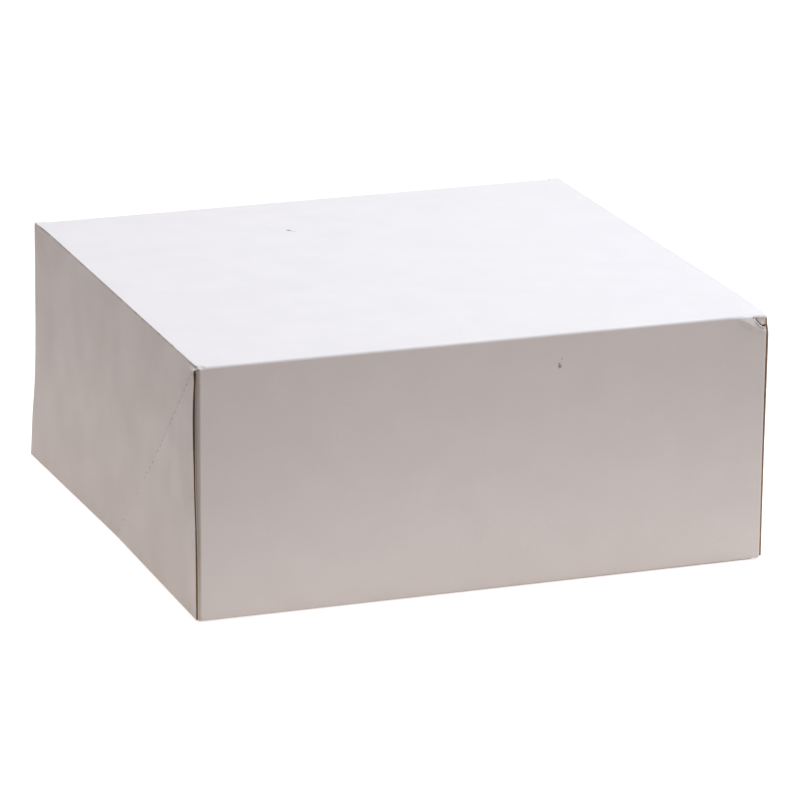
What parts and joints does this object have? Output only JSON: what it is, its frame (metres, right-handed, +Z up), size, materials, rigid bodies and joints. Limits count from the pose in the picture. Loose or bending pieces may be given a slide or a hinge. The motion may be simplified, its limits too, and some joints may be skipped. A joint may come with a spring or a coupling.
{
  "type": "cake box",
  "caption": "Closed paperboard cake box: a folded tray with glued, perforated corners and a full-depth lid hinged along its back.",
  "frame": {"origin": "centre of the closed box's outline, on the surface that the box stands on", "axes": "+Z up, -Y towards the front that opens, +X to the right seen from the front"},
  "size_m": [0.235, 0.225, 0.1025],
  "materials": {
    "coated_board": "white clay-coated paperboard, satin outside, bare brown board inside and on cut edges",
    "dry_glue": "dried carton glue"
  },
  "bodies": {
    "tray": {"base_panel": "coated_board", "tray_front_wall": "coated_board", "tray_back_wall": "coated_board", "tray_left_wall": "coated_board", "tray_right_wall": "coated_board", "tray_front_left_gusset": "coated_board", "tray_front_right_gusset": "coated_board", "tray_back_left_gusset": "coated_board", "tray_back_right_gusset": "coated_board", "tray_front_left_flap": "coated_board", "tray_front_right_flap": "coated_board", "tray_back_left_flap": "coated_board", "tray_back_right_flap": "coated_board", "tray_front_left_glue": "dry_glue", "tray_front_right_glue": "dry_glue", "tray_back_left_glue": "dry_glue", "tray_back_right_glue": "dry_glue"},
    "lid": {"lid_top_panel": "coated_board", "lid_front_panel": "coated_board", "lid_left_panel": "coated_board", "lid_right_panel": "coated_board", "lid_left_gusset": "coated_board", "lid_right_gusset": "coated_board", "lid_left_flap": "coated_board", "lid_right_flap": "coated_board", "lid_left_glue": "dry_glue", "lid_right_glue": "dry_glue"}
  },
  "joints": [
    {"name": "lid_hinge", "type": "hinge", "parent": "tray", "child": "lid", "pos_m": [0, 0.1125, 0.1025], "axis": [-1, 0, 0], "range_deg": [0, 205]}
  ]
}
